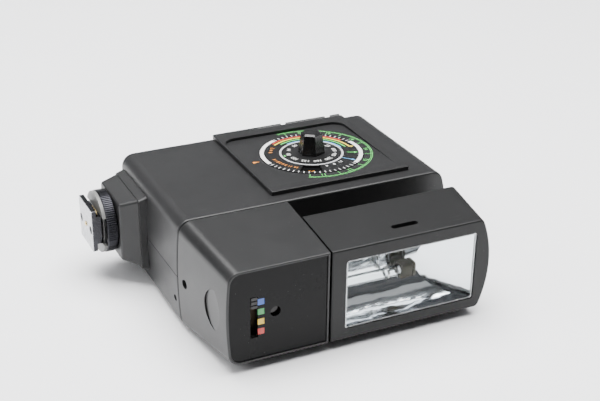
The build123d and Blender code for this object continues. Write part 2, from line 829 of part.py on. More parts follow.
with BuildPart() as trigger_clip:
    with BuildSketch(Plane.YZ.offset(25.0)):
        with Locations((tube_y, window_mid_z)):
            Circle(tube_r + 0.4)
            Circle(tube_r, mode=Mode.SUBTRACT)
        with Locations((tube_y + 3.4, window_mid_z - 0.6)):
            Rectangle(2.4, 0.4)
    extrude(amount=1.0)
finish(trigger_clip, "trigger_clip")

with BuildPart() as trigger_board:
    with BuildSketch(across(-35.5)):
        with Locations((22.0, mid_z)):
            Rectangle(44.0, 30.0)
    extrude(amount=-1.4)
finish(trigger_board, "trigger_board")

with BuildPart() as trigger_coil:
    with BuildSketch(across(-35.5)):
        with Locations((30.0, mid_z + 6)):
            Circle(3.6)
    extrude(amount=3.0)
finish(trigger_coil, "trigger_coil")

with BuildPart() as head_pivot:
    with BuildSketch(Plane.YZ.offset(turret_right_x - wall - 1.6)):
        with Locations((head_axis_y, mid_z)):
            Circle(head_pivot_r)
    extrude(amount=head_left_x + wall - turret_right_x + wall + 1.6)
    with BuildSketch(Plane.YZ.offset(head_left_x + wall)):
        with Locations((head_axis_y, mid_z)):
            Circle(head_pivot_r + 1.0)
    extrude(amount=0.8)
    with BuildSketch(Plane.YZ.offset(-20)):
        with Locations((head_axis_y, mid_z)):
            Circle(head_pivot_r - 1.3)
    extrude(amount=30, mode=Mode.SUBTRACT)
finish(head_pivot, "head_pivot")

with BuildPart() as head_retainer:
    with BuildSketch(Plane.YZ.offset(turret_right_x - wall - 1.3)):
        with Locations((head_axis_y, mid_z)):
            Circle(head_pivot_r + 1.0)
            Circle(head_pivot_r, mode=Mode.SUBTRACT)
    extrude(amount=1.0)
finish(head_retainer, "head_retainer")

# ================================================================ hot shoe foot
# The base and the collar flare towards the casing on every side but the rear.
with BuildPart() as shoe_base:
    with BuildSketch(Plane.YZ.offset(base_face_x)):
        with Locations((39.1, shoe_z)):
            RectangleRounded(25.6, 25.7, 1.2)
    with BuildSketch(Plane.YZ.offset(collar_face_x)):
        with Locations((37.1, shoe_z)):
            RectangleRounded(29.8, 30.4, 1.2)
    loft()
    chamfer(shoe_base.edges().group_by(Axis.X)[0], 0.5)
    with BuildSketch(Plane.YZ.offset(base_face_x - 1)):
        with Locations((shoe_y, shoe_z)):
            Circle(stud_r + 0.1)
    extrude(amount=20, mode=Mode.SUBTRACT)
    # screw pilots for the collar behind it
    with BuildSketch(Plane.YZ.offset(collar_face_x)):
        with Locations(*base_screw_places):
            Circle(pilot_r)
    extrude(amount=-4.0, mode=Mode.SUBTRACT)
finish(shoe_base, "shoe_base")

with BuildPart() as shoe_collar:
    with BuildSketch(Plane.YZ.offset(collar_face_x)):
        with Locations((36.3, shoe_z)):
            RectangleRounded(31.8, 31.6, 1.4)
    with BuildSketch(Plane.YZ.offset(body_left_x + 1.3)):
        with Locations((36.1, shoe_z)):
            RectangleRounded(32.2, 34.4, 1.4)
    loft()
    add(casing_block.part, mode=Mode.SUBTRACT)
    with BuildSketch(Plane.YZ.offset(base_face_x - 1)):
        with Locations((shoe_y, shoe_z)):
            Circle(stud_r + 0.1)
    extrude(amount=20, mode=Mode.SUBTRACT)
    with BuildSketch(Plane.YZ.offset(collar_face_x)):
        with Locations(*base_screw_places):
            Circle(clear_r)
    extrude(amount=20, mode=Mode.SUBTRACT)
finish(shoe_collar, "shoe_collar")

with BuildPart() as base_screws:
    with BuildSketch(Plane.YZ.offset(casing_inner_x)):
        with Locations(*base_screw_places):
            Circle(head_r)
    extrude(amount=head_height)
    with BuildSketch(Plane.YZ.offset(casing_inner_x)):
        with Locations(*base_screw_places):
            Circle(pilot_r)
    extrude(amount=-(casing_inner_x - collar_face_x + 3.6))
finish(base_screws, "base_screws")

foot_rear_x = foot_x + foot_thick
neck_top_z = shoe_z + neck_width / 2
with BuildPart() as foot:
    with BuildSketch(Plane.YZ.offset(foot_x)):
        with Locations((shoe_y, shoe_z)):
            Rectangle(foot_length, foot_width)
    extrude(amount=foot_thick)
    chamfer(foot.edges().filter_by(Axis.X), 0.3)
    with BuildSketch(Plane.YZ.offset(foot_rear_x)):
        with Locations((shoe_y, shoe_z)):
            Rectangle(foot_length - 1, neck_width)
    extrude(amount=neck_end_x - foot_rear_x)
    with BuildSketch(Plane.YZ.offset(foot_rear_x)):
        with Locations((shoe_y, shoe_z)):
            Circle(stud_r)
    extrude(amount=nut_x + 2.0 - foot_rear_x)
    # bore for the contact wire
    with BuildSketch(Plane.YZ.offset(foot_x + 3.0)):
        with Locations((shoe_y, shoe_z)):
            Circle(2.4)
    extrude(amount=30, mode=Mode.SUBTRACT)
    with BuildSketch(Plane.YZ.offset(foot_x)):
        with Locations((shoe_y, shoe_z)):
            Circle(pin_r + run)
    extrude(amount=3.0, mode=Mode.SUBTRACT)
    with BuildSketch(Plane.YZ.offset(foot_x)):
        with Locations(*foot_screw_places):
            Circle(1.8)
    extrude(amount=0.9, mode=Mode.SUBTRACT)
    with BuildSketch(Plane.YZ.offset(foot_x)):
        with Locations(*foot_screw_places):
            Circle(0.7)
    extrude(amount=2.6, mode=Mode.SUBTRACT)
finish(foot, "foot")

with BuildPart() as foot_screws:
    with BuildSketch(Plane.YZ.offset(foot_x + 0.3)):
        with Locations(*foot_screw_places):
            Circle(1.7)
    extrude(amount=0.6)
    with BuildSketch(Plane.YZ.offset(foot_x + 0.9)):
        with Locations(*foot_screw_places):
            Circle(0.7)
    extrude(amount=1.6)
finish(foot_screws, "foot_screws")

# sprung pin: its head slides in the insulator's bore
with BuildPart() as contact_pin:
    with BuildSketch(Plane.YZ.offset(-end_x)):
        with Locations((shoe_y, shoe_z)):
            Circle(pin_r)
    extrude(amount=3.5 + end_x + foot_x)
    fillet(contact_pin.edges().group_by(Axis.X)[0], 0.4)
    with BuildSketch(Plane.YZ.offset(foot_x + 3.5)):
        with Locations((shoe_y, shoe_z)):
            Circle(pin_tail_r)
    extrude(amount=14)
finish(contact_pin, "contact_pin")

with BuildPart() as pin_insulator:
    with BuildSketch(Plane.YZ.offset(foot_x + 3.0)):
        with Locations((shoe_y, shoe_z)):
            Circle(2.4)
    extrude(amount=12)
    with BuildSketch(Plane.YZ.offset(foot_x)):
        with Locations((shoe_y, shoe_z)):
            Circle(pin_r + run)
    extrude(amount=3.5 + 2 * pin_travel, mode=Mode.SUBTRACT)
    with BuildSketch(Plane.YZ.offset(foot_x)):
        with Locations((shoe_y, shoe_z)):
            Circle(pin_tail_r + run)
    extrude(amount=20, mode=Mode.SUBTRACT)
finish(pin_insulator, "pin_insulator")

# bent brass leaf on the neck, which earths the foot
with BuildPart() as ground_spring:
    with BuildSketch(Plane.XZ.offset(4.2 - shoe_y)):
        with BuildLine():
            Polyline((foot_rear_x + 0.1, neck_top_z), (foot_rear_x + 0.5, neck_top_z + 2.5),
                     (foot_rear_x + 0.8, neck_top_z + 2.5), (foot_rear_x + 1.3, neck_top_z + 0.3),
                     (foot_rear_x + 1.0, neck_top_z + 0.3), (foot_rear_x + 0.65, neck_top_z + 1.9),
                     (foot_rear_x + 0.4, neck_top_z), close=True)
        make_face()
    extrude(amount=2.7, both=True)
finish(ground_spring, "ground_spring")

# pressure plate: two round segments on a web, above and below the neck
with BuildPart() as pressure_plate:
    with BuildSketch(Plane.YZ.offset(plate_x)):
        with Locations((shoe_y, shoe_z)):
            Circle(wheel_r - 0.2)
            Rectangle(3 * wheel_r, neck_width + 2 * plate_gap, mode=Mode.SUBTRACT)
    extrude(amount=1.3)
    chamfer(pressure_plate.faces().sort_by(Axis.X)[0].edges().filter_by(GeomType.CIRCLE), 0.3)
    with BuildSketch(Plane.YZ.offset(plate_x + 0.9)):
        with Locations((shoe_y, shoe_z)):
            Rectangle(foot_length - 1.2, neck_width + 1)
    extrude(amount=0.4)
    with BuildSketch(Plane.YZ.offset(plate_x)):
        with Locations((shoe_y, shoe_z)):
            Circle(stud_r + run)
    extrude(amount=3, mode=Mode.SUBTRACT)
finish(pressure_plate, "pressure_plate")

with BuildPart() as lock_wheel:
    with BuildSketch(Plane.YZ.offset(wheel_left_x)):
        with Locations((shoe_y, shoe_z)):
            Circle(wheel_r)
            Circle(stud_r + run, mode=Mode.SUBTRACT)
    extrude(amount=wheel_right_x - wheel_left_x)
    rim = lock_wheel.edges().filter_by(GeomType.CIRCLE).filter_by(lambda edge: edge.radius > 12)
    chamfer(rim, 0.4)
    # two knurled bands, plain between them
    knurls = [(wheel_r * cos(radians(a)), wheel_r * sin(radians(a)))
              for middle in (150, 330) for a in range(middle - 44, middle + 45, 4)]
    with BuildSketch(Plane.YZ.offset(wheel_left_x)):
        with Locations((shoe_y, shoe_z)):
            with Locations(*knurls):
                Circle(0.34)
    extrude(amount=wheel_right_x - wheel_left_x, mode=Mode.SUBTRACT)
finish(lock_wheel, "lock_wheel")

with BuildPart() as stud_nut:
    with BuildSketch(Plane.YZ.offset(nut_x)):
        with Locations((shoe_y, shoe_z)):
            RegularPolygon(8.4, 6)
            Circle(stud_r, mode=Mode.SUBTRACT)
    extrude(amount=1.8)
finish(stud_nut, "stud_nut")

# ================================================================ rear controls
board_y = 48.2
with BuildPart() as control_board:
    with BuildSketch(across(board_y)):
        with Locations((-21.0, 27.0)):
            Rectangle(35.0, 29.0)
    extrude(amount=-1.4)
finish(control_board, "control_board")

with BuildPart() as power_switch:
    with BuildSketch(across(control_top_y)):
        with Locations((switch_x, switch_rest_z)):
            RectangleRounded(switch_width, switch_height, 1.2)
    extrude(amount=control_top_y - body_rear_y + wall + 0.3)
    for step in (-1.2, 0, 1.2):
        with BuildSketch(across(control_top_y)):
            with Locations((switch_x, switch_rest_z + step)):
                Rectangle(switch_width, 0.5)
        extrude(amount=0.3, mode=Mode.SUBTRACT)
    with BuildSketch(across(body_rear_y - wall - 0.2)):
        with Locations((switch_x, switch_rest_z)):
            Rectangle(switch_width + 3, switch_height + 3)
    extrude(amount=1.0)
finish(power_switch, "power_switch")

with BuildPart() as ready_lamp:
    with BuildSketch(across(control_top_y - 0.2)):
        with Locations((lamp_x, lamp_z)):
            Circle(lamp_r)
    extrude(amount=control_top_y - 0.2 - body_rear_y + wall)
    fillet(ready_lamp.edges().group_by(Axis.Y)[-1], 0.4)
    with BuildSketch(across(body_rear_y - wall)):
        with Locations((lamp_x, lamp_z)):
            Circle(lamp_r + 0.6)
    extrude(amount=0.8)
finish(ready_lamp, "ready_lamp")

with BuildPart() as neon_lamp:
    with BuildSketch(across(board_y + 3.2)):
        with Locations((lamp_x, lamp_z)):
            Circle(1.5)
    extrude(amount=3.2 - 1.4)
finish(neon_lamp, "neon_lamp")

with BuildPart() as test_button:
    with BuildSketch(across(control_top_y)):
        with Locations((lamp_x, button_z)):
            Circle(button_r)
    extrude(amount=control_top_y - body_rear_y + wall + 0.2)
    fillet(test_button.edges().group_by(Axis.Y)[-1], 0.4)
    with BuildSketch(across(body_rear_y - wall - 0.1)):
        with Locations((lamp_x, button_z)):
            Circle(button_r + 0.9)
    extrude(amount=0.8)
finish(test_button, "test_button")

with BuildPart() as button_spring:
    with BuildLine():
        coil = Helix(pitch=0.6, height=1.8, radius=1.6)
    with BuildSketch(Plane(origin=coil @ 0, z_dir=coil % 0)):
        Circle(0.15)
    sweep(is_frenet=True)
spring_place = Location((lamp_x, board_y + 1.55, button_z), (-90, 0, 0))
button_spring.part.locate(spring_place)
finish(button_spring, "button_spring")

with BuildPart() as sync_socket:
    with BuildSketch(across(control_top_y)):
        with Locations((switch_x, socket_z)):
            Circle(socket_r)
            Circle(1.5, mode=Mode.SUBTRACT)
    extrude(amount=control_top_y - body_rear_y + wall + 0.6)
    with BuildSketch(across(body_rear_y - wall)):
        with Locations((switch_x, socket_z)):
            Circle(socket_r + 0.8)
            Circle(1.5, mode=Mode.SUBTRACT)
    extrude(amount=0.6)
    with BuildSketch(across(body_rear_y - wall + 0.6)):
        with Locations((switch_x, socket_z)):
            Circle(1.6)
    extrude(amount=1.2)
    # centre contact, recessed in the mouth
    with BuildSketch(across(control_top_y - 0.6)):
        with Locations((switch_x, socket_z)):
            Circle(0.5)
    extrude(amount=control_top_y - body_rear_y + wall - 1.2)
finish(sync_socket, "sync_socket")

# ================================================================ electronics
main_board_z = 5.0
board_thick = 1.6
with BuildPart() as main_board:
    with BuildSketch(Plane.XY.offset(main_board_z)):
        with Locations((-19.85, 18.35)):
            Rectangle(52.1, 61.7)
        with Locations(*posts):
            Circle(post_r + 0.3, mode=Mode.SUBTRACT)
    extrude(amount=board_thick)
finish(main_board, "main_board")

with BuildPart() as main_capacitor:
    with BuildSketch(Plane.YZ.offset(8.5)):
        with Locations((2.5, 17.2)):
            Circle(13.6)
    extrude(amount=51)
    fillet(main_capacitor.edges(), 1.2)
finish(main_capacitor, "main_capacitor")

with BuildPart() as transformer:
    with BuildSketch(Plane.XY.offset(main_board_z + board_thick)):
        with Locations((-26, 16)):
            Rectangle(18, 15)
    extrude(amount=13)
    with BuildSketch(Plane.XZ.offset(-16 - 7.5)):
        with Locations((-26, main_board_z + board_thick + 6.5)):
            Rectangle(12, 8)
    extrude(amount=-2.2)
    with BuildSketch(Plane.XZ.offset(-16 + 7.5)):
        with Locations((-26, main_board_z + board_thick + 6.5)):
            Rectangle(12, 8)
    extrude(amount=2.2)
finish(transformer, "transformer")

with BuildPart() as thyristor:
    with BuildSketch(Plane.XY.offset(main_board_z + board_thick)):
        with Locations((-5, 22)):
            Rectangle(4.6, 10)
    extrude(amount=9)
    with BuildSketch(Plane.XY.offset(main_board_z + board_thick)):
        with Locations((-2.2, 22)):
            Rectangle(1.0, 14)
    extrude(amount=15)
finish(thyristor, "thyristor")

small_caps = [(-40, 4, 2.6, 7.0), (-40, 12, 2.2, 6.0), (-12, 4, 3.2, 11.0), (-40, 32, 2.6, 8.0)]
with BuildPart() as small_capacitors:
    for x, y, radius, height in small_caps:
        with BuildSketch(Plane.XY.offset(main_board_z + board_thick)):
            with Locations((x, y)):
                Circle(radius)
        extrude(amount=height)
finish(small_capacitors, "small_capacitors")
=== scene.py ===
import json
import math

import bmesh
import bpy
from mathutils import Matrix, Vector


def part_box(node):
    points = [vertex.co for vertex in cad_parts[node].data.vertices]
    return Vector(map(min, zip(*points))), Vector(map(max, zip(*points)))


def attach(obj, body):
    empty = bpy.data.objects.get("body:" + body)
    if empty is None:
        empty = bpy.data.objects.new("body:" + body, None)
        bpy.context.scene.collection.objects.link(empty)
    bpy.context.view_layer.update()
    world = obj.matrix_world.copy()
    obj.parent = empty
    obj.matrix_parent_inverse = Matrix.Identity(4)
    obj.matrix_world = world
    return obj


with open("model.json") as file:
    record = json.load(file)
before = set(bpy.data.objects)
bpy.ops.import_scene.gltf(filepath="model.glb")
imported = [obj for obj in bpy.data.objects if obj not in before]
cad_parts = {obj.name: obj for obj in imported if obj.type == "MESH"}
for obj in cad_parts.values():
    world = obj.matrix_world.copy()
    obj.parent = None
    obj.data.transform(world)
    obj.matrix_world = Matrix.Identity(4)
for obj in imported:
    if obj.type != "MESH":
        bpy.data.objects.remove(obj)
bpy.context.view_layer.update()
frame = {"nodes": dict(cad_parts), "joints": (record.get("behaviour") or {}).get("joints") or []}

nodes = frame["nodes"]
MM = 0.001


# ------------------------------------------------------------------ materials
class Tree:
    """Small helper that builds a node tree from short calls."""

    def __init__(self, name):
        self.mat = bpy.data.materials.new(name)
        self.mat.use_nodes = True
        self.t = self.mat.node_tree
        self.bsdf = self.t.nodes["Principled BSDF"]
        self.pos = self.t.nodes.new("ShaderNodeTexCoord").outputs["Object"]

    def node(self, kind, **settings):
        n = self.t.nodes.new(kind)
        for key, value in settings.items():
            if hasattr(n, key):
                setattr(n, key, value)
        return n

    def put(self, socket, value):
        if isinstance(value, bpy.types.NodeSocket):
            self.t.links.new(value, socket)
        else:
            socket.default_value = value

    def noise(self, scale, detail=3.0, rough=0.5, vector=None):
        n = self.node("ShaderNodeTexNoise")
        self.put(n.inputs["Vector"], vector or self.pos)
        n.inputs["Scale"].default_value = scale
        n.inputs["Detail"].default_value = detail
        n.inputs["Roughness"].default_value = rough
        return n.outputs["Fac"]

    def cells(self, scale):
        n = self.node("ShaderNodeTexVoronoi", feature="F1")
        self.put(n.inputs["Vector"], self.pos)
        n.inputs["Scale"].default_value = scale
        return n

    def math(self, op, a, b=0.0, clamp=False):
        n = self.node("ShaderNodeMath", operation=op, use_clamp=clamp)
        self.put(n.inputs[0], a)
        self.put(n.inputs[1], b)
        return n.outputs[0]

    def span(self, value, lo, hi, out_lo=0.0, out_hi=1.0):
        n = self.node("ShaderNodeMapRange", clamp=True)
        self.put(n.inputs["Value"], value)
        n.inputs["From Min"].default_value = lo
        n.inputs["From Max"].default_value = hi
        n.inputs["To Min"].default_value = out_lo
        n.inputs["To Max"].default_value = out_hi
        return n.outputs["Result"]

    def mix(self, fac, a, b):
        n = self.node("ShaderNodeMix", data_type="RGBA")
        self.put(n.inputs["Factor"], fac)
        self.put(n.inputs["A"], a)
        self.put(n.inputs["B"], b)
        return n.outputs["Result"]

    def stretch(self, scale, turn=(0, 0, 0)):
        n = self.node("ShaderNodeMapping")
        self.put(n.inputs["Vector"], self.pos)
        n.inputs["Scale"].default_value = scale
        n.inputs["Rotation"].default_value = turn
        return n.outputs["Vector"]

    def axis(self, name):
        n = self.node("ShaderNodeSeparateXYZ")
        self.put(n.inputs[0], self.pos)
        return n.outputs[name]

    def bump(self, height, strength, distance, normal=None):
        n = self.node("ShaderNodeBump")
        n.inputs["Strength"].default_value = strength
        n.inputs["Distance"].default_value = distance
        self.put(n.inputs["Height"], height)
        if normal:
            self.put(n.inputs["Normal"], normal)
        return n.outputs["Normal"]

    def set(self, **values):
        for key, value in values.items():
            self.put(self.bsdf.inputs[key.replace("_", " ")], value)
        return self


def rgb(*c):
    return (*c, 1.0)


GRAIN_SCALE = 4200.0


def plastic(name, shade, rough, grain=0.25, dust=1.0, coat=0.0, tint=(1.0, 1.0, 1.03), shine=0.38):
    """Moulded black plastic: fine spark-eroded grain, cloudy tone, dust and hairline scratches."""
    m = Tree(name)
    cloud = m.noise(55.0, 4.0)
    fine = m.noise(GRAIN_SCALE, 2.0)
    lo = [shade * 0.92 * t for t in tint]
    hi = [shade * 1.10 * t for t in tint]
    colour = m.mix(m.span(cloud, 0.3, 0.7), rgb(*lo), rgb(*hi))
    speck = m.cells(620.0)
    hit = m.span(speck.outputs["Distance"], 0.035, 0.10, 1.0, 0.0)
    chosen = m.node("ShaderNodeSeparateColor")
    m.put(chosen.inputs[0], speck.outputs["Color"])
    some = m.span(chosen.outputs[0], 0.80, 0.82)
    dusty = m.math("MULTIPLY", m.math("MULTIPLY", hit, some), 0.42 * dust)
    colour = m.mix(dusty, colour, rgb(0.20, 0.20, 0.19))
    hair = m.noise(1.0, 2.0, vector=m.stretch((60, 2200, 900), (0.2, 0.1, 0.7)))
    line = m.span(hair, 0.735, 0.76)
    patch = m.span(m.noise(30.0, 2.0), 0.5, 0.62)
    scratch = m.math("MULTIPLY", m.math("MULTIPLY", line, patch), 0.22 * dust)
    colour = m.mix(scratch, colour, rgb(0.10, 0.10, 0.10))
    gloss = m.span(m.noise(120.0, 5.0), 0.25, 0.75, rough - 0.02, rough + 0.025)
    m.set(Base_Color=colour, Roughness=gloss, Coat_Weight=coat, Coat_Roughness=0.16, Specular_IOR_Level=shine)
    m.set(Normal=m.bump(fine, grain, 0.00006))
    return m.mat


def metal(name, colour, rough, brushed=None, wear=0.3, ripple=0):
    m = Tree(name)
    streak = m.noise(1.0, 4.0, vector=m.stretch(brushed or (900, 900, 900)))
    cloud = m.noise(90.0, 4.0)
    dark = [c * (1 - 0.35 * wear) for c in colour]
    tone = m.mix(m.span(cloud, 0.3, 0.75), rgb(*dark), rgb(*colour))
    m.set(Base_Color=tone, Metallic=1.0, Roughness=m.span(streak, 0.3, 0.7, rough - 0.07, rough + 0.1))
    dent = m.bump(m.noise(ripple, 2.0), 0.6, 0.0012) if ripple else None
    m.set(Normal=m.bump(streak, 0.25, 0.00003, dent))
    return m.mat


def paint(name, colour, rough=0.5, worn=0.35):
    """Printed ink, a little uneven and rubbed thin in places."""
    m = Tree(name)
    thin = m.span(m.noise(900.0, 3.0), 0.35, 0.75, 0.0, worn)
    tone = m.mix(thin, rgb(*colour), rgb(*[c * 0.35 for c in colour]))
    m.set(Base_Color=tone, Roughness=m.span(m.noise(1500.0), 0.3, 0.7, rough - 0.08, rough + 0.08))
    return m.mat


def clear(name, rough=0.02, tint=(0.97, 0.99, 0.99), ior=1.49):
    m = Tree(name)
    wave = m.noise(150.0, 2.0)
    m.set(Base_Color=rgb(*tint), Roughness=rough, Transmission_Weight=1.0, IOR=ior)
    m.set(Normal=m.bump(wave, 0.06, 0.0004))
    return m.mat


def split(name, axis, edges, shades, rough=0.35, metallic=0.0):
    """Bands of colour along one axis, for a piece finished differently from place to place."""
    m = Tree(name)
    where = m.axis(axis)
    tone = rgb(*shades[0])
    for edge, shade in zip(edges, shades[1:]):
        tone = m.mix(m.math("GREATER_THAN", where, edge * MM), tone, rgb(*shade))
    cloud = m.span(m.noise(400.0, 4.0), 0.3, 0.75, 0.0, 0.35)
    tone = m.mix(cloud, tone, rgb(0.03, 0.03, 0.03))
    gloss = m.span(m.noise(700.0), 0.3, 0.7, rough - 0.08, rough + 0.08)
    m.set(Base_Color=tone, Metallic=metallic, Roughness=gloss)
    m.set(Normal=m.bump(m.noise(1.0, 3.0, vector=m.stretch((900, 5000, 900))), 0.2, 0.00003))
    return m.mat


look = {
    "marks": split("mark_colours", "Z", (18.5, 22.7, 26.9),
                   ((0.55, 0.03, 0.02), (0.75, 0.50, 0.03), (0.04, 0.32, 0.08), (0.03, 0.12, 0.50))),
    "casing": plastic("casing_plastic", 0.012, 0.40),
    "panel": plastic("panel_plastic", 0.010, 0.42, grain=0.3),
    "turret": plastic("turret_plastic", 0.010, 0.36, grain=0.16),
    "front": plastic("front_panel_gloss", 0.004, 0.20, grain=0.04, shine=0.12),
    "head": plastic("head_plastic", 0.006, 0.42, shine=0.27),
    "inner": plastic("inner_plastic", 0.004, 0.6, dust=0.1, shine=0.1),
    "shoe": plastic("shoe_plastic", 0.012, 0.45),
    "dial": plastic("dial_plastic", 0.006, 0.38, grain=0.12),
    "knob": plastic("knob_plastic", 0.004, 0.26, grain=0.05, coat=0.25),
    "switch": plastic("switch_plastic", 0.012, 0.4),
    "button": plastic("button_plastic", 0.10, 0.35),
    "board": plastic("board_resin", 0.06, 0.5, dust=0.2, tint=(1.4, 1.0, 0.5)),
    "sleeve": plastic("capacitor_sleeve", 0.05, 0.3, dust=0.2, tint=(0.7, 0.8, 1.8)),
    "winding": plastic("winding_tape", 0.5, 0.5, dust=0.2, tint=(1.0, 0.85, 0.4)),
    "cell": plastic("cell_jacket", 0.12, 0.3, dust=0.2),
    "white": plastic("insulator_resin", 0.75, 0.4, dust=0.1, tint=(1.0, 0.98, 0.93)),
    "ring": plastic("ring_resin", 0.14, 0.4, dust=0.4, tint=(1.0, 1.0, 0.97)),
    "amber": plastic("holder_silicone", 0.035, 0.5, dust=0.2, tint=(1.25, 1.05, 0.6)),
    "lamp": plastic("lamp_lens", 0.5, 0.2, dust=0.2, tint=(1.6, 0.5, 0.1)),
    "sensor": plastic("sensor_lens", 0.003, 0.12, dust=0.1, tint=(1.6, 0.8, 0.8), shine=0.3),
    "foot": split("foot_metal", "X", (-70.35,), ((0.50, 0.51, 0.53), (0.05, 0.05, 0.055)), 0.3, 1.0),
    "wheel": metal("wheel_anodised", (0.035, 0.035, 0.04), 0.30, (200, 4000, 4000)),
    "brass": metal("brass", (0.78, 0.60, 0.28), 0.28),
    "steel": metal("bright_steel", (0.62, 0.61, 0.60), 0.28),
    "black_steel": metal("blackened_steel", (0.02, 0.02, 0.02), 0.4),
    "chrome": metal("reflector_sheet", (0.86, 0.88, 0.91), 0.09, (25, 700, 700), wear=0.1, ripple=70.0),
    "window": clear("window_plastic", ior=1.12),
    "tube": clear("tube_glass", 0.01),
}

dress = {
    "casing": "lower_shell upper_shell battery_door",
    "panel": "dial_panel",
    "turret": "turret_shell",
    "front": "turret_front_panel film_speed_plate",
    "head": "head_shell head_rear_cover",
    "inner": "battery_box turret_back_plate head_pivot light_sensor thyristor",
    "shoe": "shoe_base shoe_collar",
    "dial": "dial_disc",
    "knob": "dial_knob",
    "switch": "power_switch aperture_selector",
    "button": "test_button",
    "board": "sensor_board trigger_board control_board main_board",
    "sleeve": "main_capacitor small_capacitors",
    "winding": "transformer trigger_coil",
    "cell": "battery_cells",
    "white": "pin_insulator",
    "ring": "pressure_plate",
    "amber": "tube_holder",
    "lamp": "ready_lamp neon_lamp",
    "sensor": "sensor_lens",
    "foot": "foot",
    "wheel": "lock_wheel",
    "brass": "contact_pin ground_spring",
    "steel": "battery_contacts battery_springs door_hinge_pin dial_clip turret_retainer click_washer "
             "tube_electrodes trigger_clip head_retainer stud_nut button_spring sync_socket",
    "black_steel": "casing_screws turret_screw base_screws foot_screws",
    "chrome": "reflector",
    "window": "window_lens",
    "tube": "flash_tube",
    "marks": "colour_marks",
}
for key, names in dress.items():
    for name in names.split():
        nodes[name].data.materials.clear()
        nodes[name].data.materials.append(look[key])

# ------------------------------------------------------------------ printed scales
INK = {
    "white": paint("ink_white", (0.78, 0.78, 0.76)),
    "grey": paint("ink_grey", (0.45, 0.45, 0.46)),
    "green": paint("ink_green", (0.10, 0.62, 0.12)),
    "red": paint("ink_red", (0.60, 0.04, 0.03)),
    "yellow": paint("ink_yellow", (0.78, 0.58, 0.04)),
    "blue": paint("ink_blue", (0.12, 0.42, 0.80)),
    "orange": paint("ink_orange", (0.80, 0.28, 0.03)),
}
turn = next(j for j in frame["joints"] if j["name"] == "dial_turn")
dial_mid = Vector(turn["pos_m"])
dial_up = Vector(turn["axis"]).normalized()
dial_right = Vector((1, 0, 0))
dial_rear = dial_up.cross(dial_right)
INK_THICK = 0.03
DISC, HUB, PLATE, FLOOR = 0.15, 0.40, -0.70, 0.0


def on_dial(x, y, height):
    return dial_mid + (dial_right * x + dial_rear * y + dial_up * height) * MM


def around(r, angle, height):
    a = math.radians(angle)
    return on_dial(r * math.cos(a), r * math.sin(a), height)


def printed(name, outlines, height, ink, body):
    """Closed thin solids, one for each outline, lying on the dial's plane."""
    bm = bmesh.new()
    for outline in outlines:
        low = [bm.verts.new(on_dial(x, y, height)) for x, y in outline]
        high = [bm.verts.new(on_dial(x, y, height + INK_THICK)) for x, y in outline]
        bm.faces.new(low[::-1])
        bm.faces.new(high)
        count = len(outline)
        for i in range(count):
            k = (i + 1) % count
            bm.faces.new((low[i], low[k], high[k], high[i]))
    bmesh.ops.recalc_face_normals(bm, faces=bm.faces)
    mesh = bpy.data.meshes.new(name)
    bm.to_mesh(mesh)
    bm.free()
    mesh.materials.append(INK[ink])
    obj = bpy.data.objects.new(name, mesh)
    bpy.context.scene.collection.objects.link(obj)
    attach(obj, body)
    return obj


def polar(r, angle):
    a = math.radians(angle)
    return (r * math.cos(a), r * math.sin(a))


def arc(r0, r1, a0, a1, step=2.0):
    """Quads that make up one arc band."""
    count = max(1, round((a1 - a0) / step))
    edge = [a0 + (a1 - a0) * i / count for i in range(count + 1)]
    return [[polar(r0, a), polar(r1, a), polar(r1, b), polar(r0, b)] for a, b in zip(edge, edge[1:])]


def ticks(r0, r1, angles, width):
    made = []
    for angle in angles:
        half = math.degrees(width / (r0 + r1))
        made += arc(r0, r1, angle - half, angle + half, 90)
    return made


def arrow(r0, r1, angle, width=0.35, head=1.6):
    """A radial line with a pointed outer end."""
    half = math.degrees(width / (r0 + r1))
    wide = math.degrees(head / (2 * r1))
    neck = r1 - head
    return [[polar(r0, angle - half), polar(neck, angle - half), polar(neck, angle + half),
             polar(r0, angle + half)],
            [polar(neck, angle - wide), polar(r1, angle), polar(neck, angle + wide)]]


def numerals(name, words, r, angles, size, height, ink, body):
    for word, angle in zip(words, angles):
        text = bpy.data.curves.new(name, "FONT")
        text.body = word
        text.size = size * MM
        text.align_x = "CENTER"
        text.align_y = "CENTER"
        text.extrude = INK_THICK * MM / 2
        text.resolution_u = 3
        shape = bpy.data.objects.new(name, text)
        mesh = bpy.data.meshes.new_from_object(shape)
        bpy.data.objects.remove(shape)
        a = math.radians(angle)
        out = dial_right * math.cos(a) + dial_rear * math.sin(a)
        along = dial_up.cross(-out)
        base = around(r, angle, height + INK_THICK / 2)
        basis = Matrix((along, -along.cross(dial_up), dial_up)).transposed()
        for v in mesh.vertices:
            v.co = base + basis @ v.co
        mesh.materials.clear()
        mesh.materials.append(INK[ink])
        piece = bpy.data.objects.new(name + "_" + word.replace(".", "p"), mesh)
        bpy.context.scene.collection.objects.link(piece)
        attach(piece, body)


